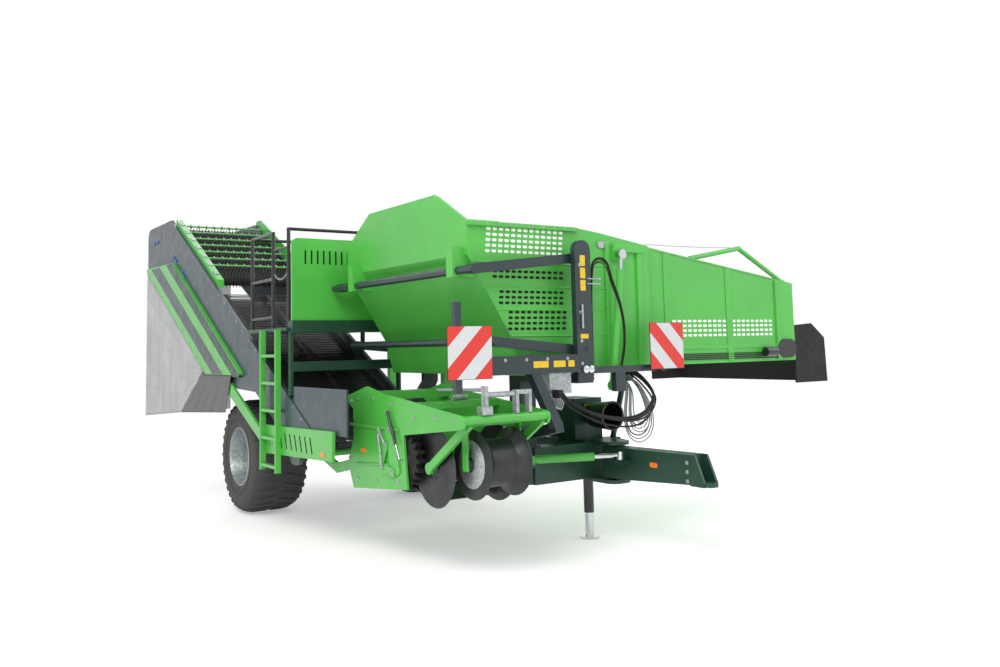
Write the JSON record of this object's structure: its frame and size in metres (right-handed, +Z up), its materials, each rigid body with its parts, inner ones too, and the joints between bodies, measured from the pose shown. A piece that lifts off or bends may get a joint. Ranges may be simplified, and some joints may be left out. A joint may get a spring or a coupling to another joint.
{
  "type": "potato harvester",
  "caption": "Trailed potato harvester with lifting digger, sloped cleaning belts, side platform, offset drawbar and a wide bunker that lifts and folds.",
  "frame": {"origin": "centre of the machine's footprint on the ground", "axes": "-Y is the driving direction, +Z up, +X the machine's left-hand side"},
  "size_m": [5.48, 9.34, 3.93],
  "materials": {
    "green_paint": "bright green gloss enamel",
    "dark_green_paint": "dark green satin enamel",
    "slate_paint": "grey-green satin enamel",
    "galvanised": "galvanised",
    "black_rubber": "matte black",
    "tyre_rubber": "matte black",
    "black_paint": "black satin",
    "worn_steel": "dark worn steel",
    "canvas": "light grey coated canvas",
    "board_white": "red and white striped sheet"
  },
  "bodies": {
    "chassis": {"main_frame": "dark_green_paint", "axle_beam": "dark_green_paint", "jack_tube": "black_paint", "elevator_frame": "slate_paint", "elevator_support": "dark_green_paint", "sieving_web": "worn_steel", "pintle_belt": "black_rubber", "pintle_rail_right": "green_paint", "pintle_rail_left": "green_paint", "elevator_cover": "green_paint", "curtain": "canvas", "mud_flap": "black_rubber", "platform": "dark_green_paint", "railing": "black_paint", "picking_shield": "green_paint", "ladder": "green_paint", "side_box": "green_paint", "picking_table": "green_paint", "picking_belt": "black_rubber", "cross_chute": "green_paint", "mast_front": "slate_paint", "mast_rear": "slate_paint", "front_beam": "slate_paint", "gearbox": "dark_green_paint", "pto_guard": "black_paint", "valve_block": "galvanised", "hose_post": "dark_green_paint", "warning_board_right": "board_white", "warning_board_left": "board_white", "lower_arm_frame": "slate_paint", "hose_bundle": "black_rubber", "mast_hoses": "black_rubber"},
    "wheel_right": {"tyre_right": "tyre_rubber", "rim_right": "galvanised"},
    "wheel_left": {"tyre_left": "tyre_rubber", "rim_left": "galvanised"},
    "drawbar": {"drawbar": "dark_green_paint"},
    "steering_barrel": {"steering_barrel": "green_paint"},
    "steering_rod": {"steering_rod": "galvanised"},
    "jack_leg": {"jack_leg": "galvanised"},
    "digger": {"digger_frame": "green_paint", "digging_web": "worn_steel", "depth_lever": "galvanised"},
    "disc_right": {"disc_right": "worn_steel"},
    "disc_left": {"disc_left": "worn_steel"},
    "diabolo": {"diabolo_roller": "worn_steel"},
    "intake_roller": {"intake_roller": "black_rubber"},
    "upper_arms": {"upper_arm_frame": "slate_paint"},
    "bunker": {"bunker_hopper": "green_paint", "bunker_belt": "black_rubber"},
    "bunker_outer": {"bunker_outer": "green_paint", "outer_belt": "black_rubber", "discharge_chute": "black_rubber"},
    "lift_barrel": {"lift_barrel": "green_paint"},
    "lift_rod": {"lift_rod": "galvanised"}
  },
  "joints": [
    {"name": "wheel_right_spin", "type": "hinge", "parent": "chassis", "child": "wheel_right", "pos_m": [-2.27, 0.56, 0.6665], "axis": [1, 0, 0], "continuous": true},
    {"name": "wheel_left_spin", "type": "hinge", "parent": "chassis", "child": "wheel_left", "pos_m": [-0.07, 0.56, 0.6665], "axis": [1, 0, 0], "continuous": true},
    {"name": "drawbar_steer", "type": "hinge", "parent": "chassis", "child": "drawbar", "pos_m": [-0.17, -3.44, 0.77], "axis": [0, 0, 1], "range_deg": [-20, 20]},
    {"name": "steering_barrel_swing", "type": "hinge", "parent": "chassis", "child": "steering_barrel", "pos_m": [-1.2, -3.42, 0.87], "axis": [0, 0, 1], "range_deg": [-20, 20]},
    {"name": "steering_rod_slide", "type": "slide", "parent": "steering_barrel", "child": "steering_rod", "axis": [0.9453, -0.3263, 0], "range_m": [-0.1177, 0.1177]},
    {"name": "jack_leg_slide", "type": "slide", "parent": "chassis", "child": "jack_leg", "axis": [0, 0, 1], "range_m": [0, 0.22]},
    {"name": "digger_lift", "type": "hinge", "parent": "chassis", "child": "digger", "pos_m": [0, -1.4, 0.86], "axis": [1, 0, 0], "range_deg": [0, 11]},
    {"name": "disc_right_spin", "type": "hinge", "parent": "digger", "child": "disc_right", "pos_m": [0, -3.5, 0.901], "axis": [1, 0, 0], "continuous": true},
    {"name": "disc_left_spin", "type": "hinge", "parent": "digger", "child": "disc_left", "pos_m": [0, -3.5, 0.901], "axis": [1, 0, 0], "continuous": true},
    {"name": "diabolo_spin", "type": "hinge", "parent": "digger", "child": "diabolo", "pos_m": [0, -3.885, 0.954], "axis": [1, 0, 0], "continuous": true},
    {"name": "intake_roller_spin", "type": "hinge", "parent": "digger", "child": "intake_roller", "pos_m": [0, -3.19, 0.95], "axis": [1, 0, 0], "continuous": true},
    {"name": "bunker_lift", "type": "hinge", "parent": "chassis", "child": "upper_arms", "pos_m": [-1.06, 0, 2.69], "axis": [0, 1, 0], "range_deg": [0, 45]},
    {"name": "bunker_level", "type": "hinge", "parent": "upper_arms", "child": "bunker", "pos_m": [-2.19, 0, 2.56], "axis": [0, 1, 0], "range_deg": [-45, 0]},
    {"name": "bunker_fold", "type": "hinge", "parent": "bunker", "child": "bunker_outer", "pos_m": [-0.02, 0, 1.74], "axis": [0, -1, 0], "range_deg": [0, 88]},
    {"name": "lift_barrel_swing", "type": "hinge", "parent": "chassis", "child": "lift_barrel", "pos_m": [-0.614, 0, 1.538], "axis": [0, 1, 0], "range_deg": [-1, 5]},
    {"name": "lift_rod_slide", "type": "slide", "parent": "lift_barrel", "child": "lift_rod", "axis": [0.1275, 0, 0.9918], "range_m": [0, 0.8748]}
  ],
  "couplings": [
    {"joint": "steering_barrel_swing", "follows": "drawbar_steer", "ratio": -0.10917},
    {"joint": "steering_rod_slide", "follows": "drawbar_steer", "m_per_rad": 0.30861},
    {"joint": "bunker_level", "follows": "bunker_lift", "ratio": -1},
    {"joint": "lift_barrel_swing", "follows": "bunker_lift", "ratio": 0.05},
    {"joint": "lift_rod_slide", "follows": "bunker_lift", "m_per_rad": 1.1011}
  ]
}
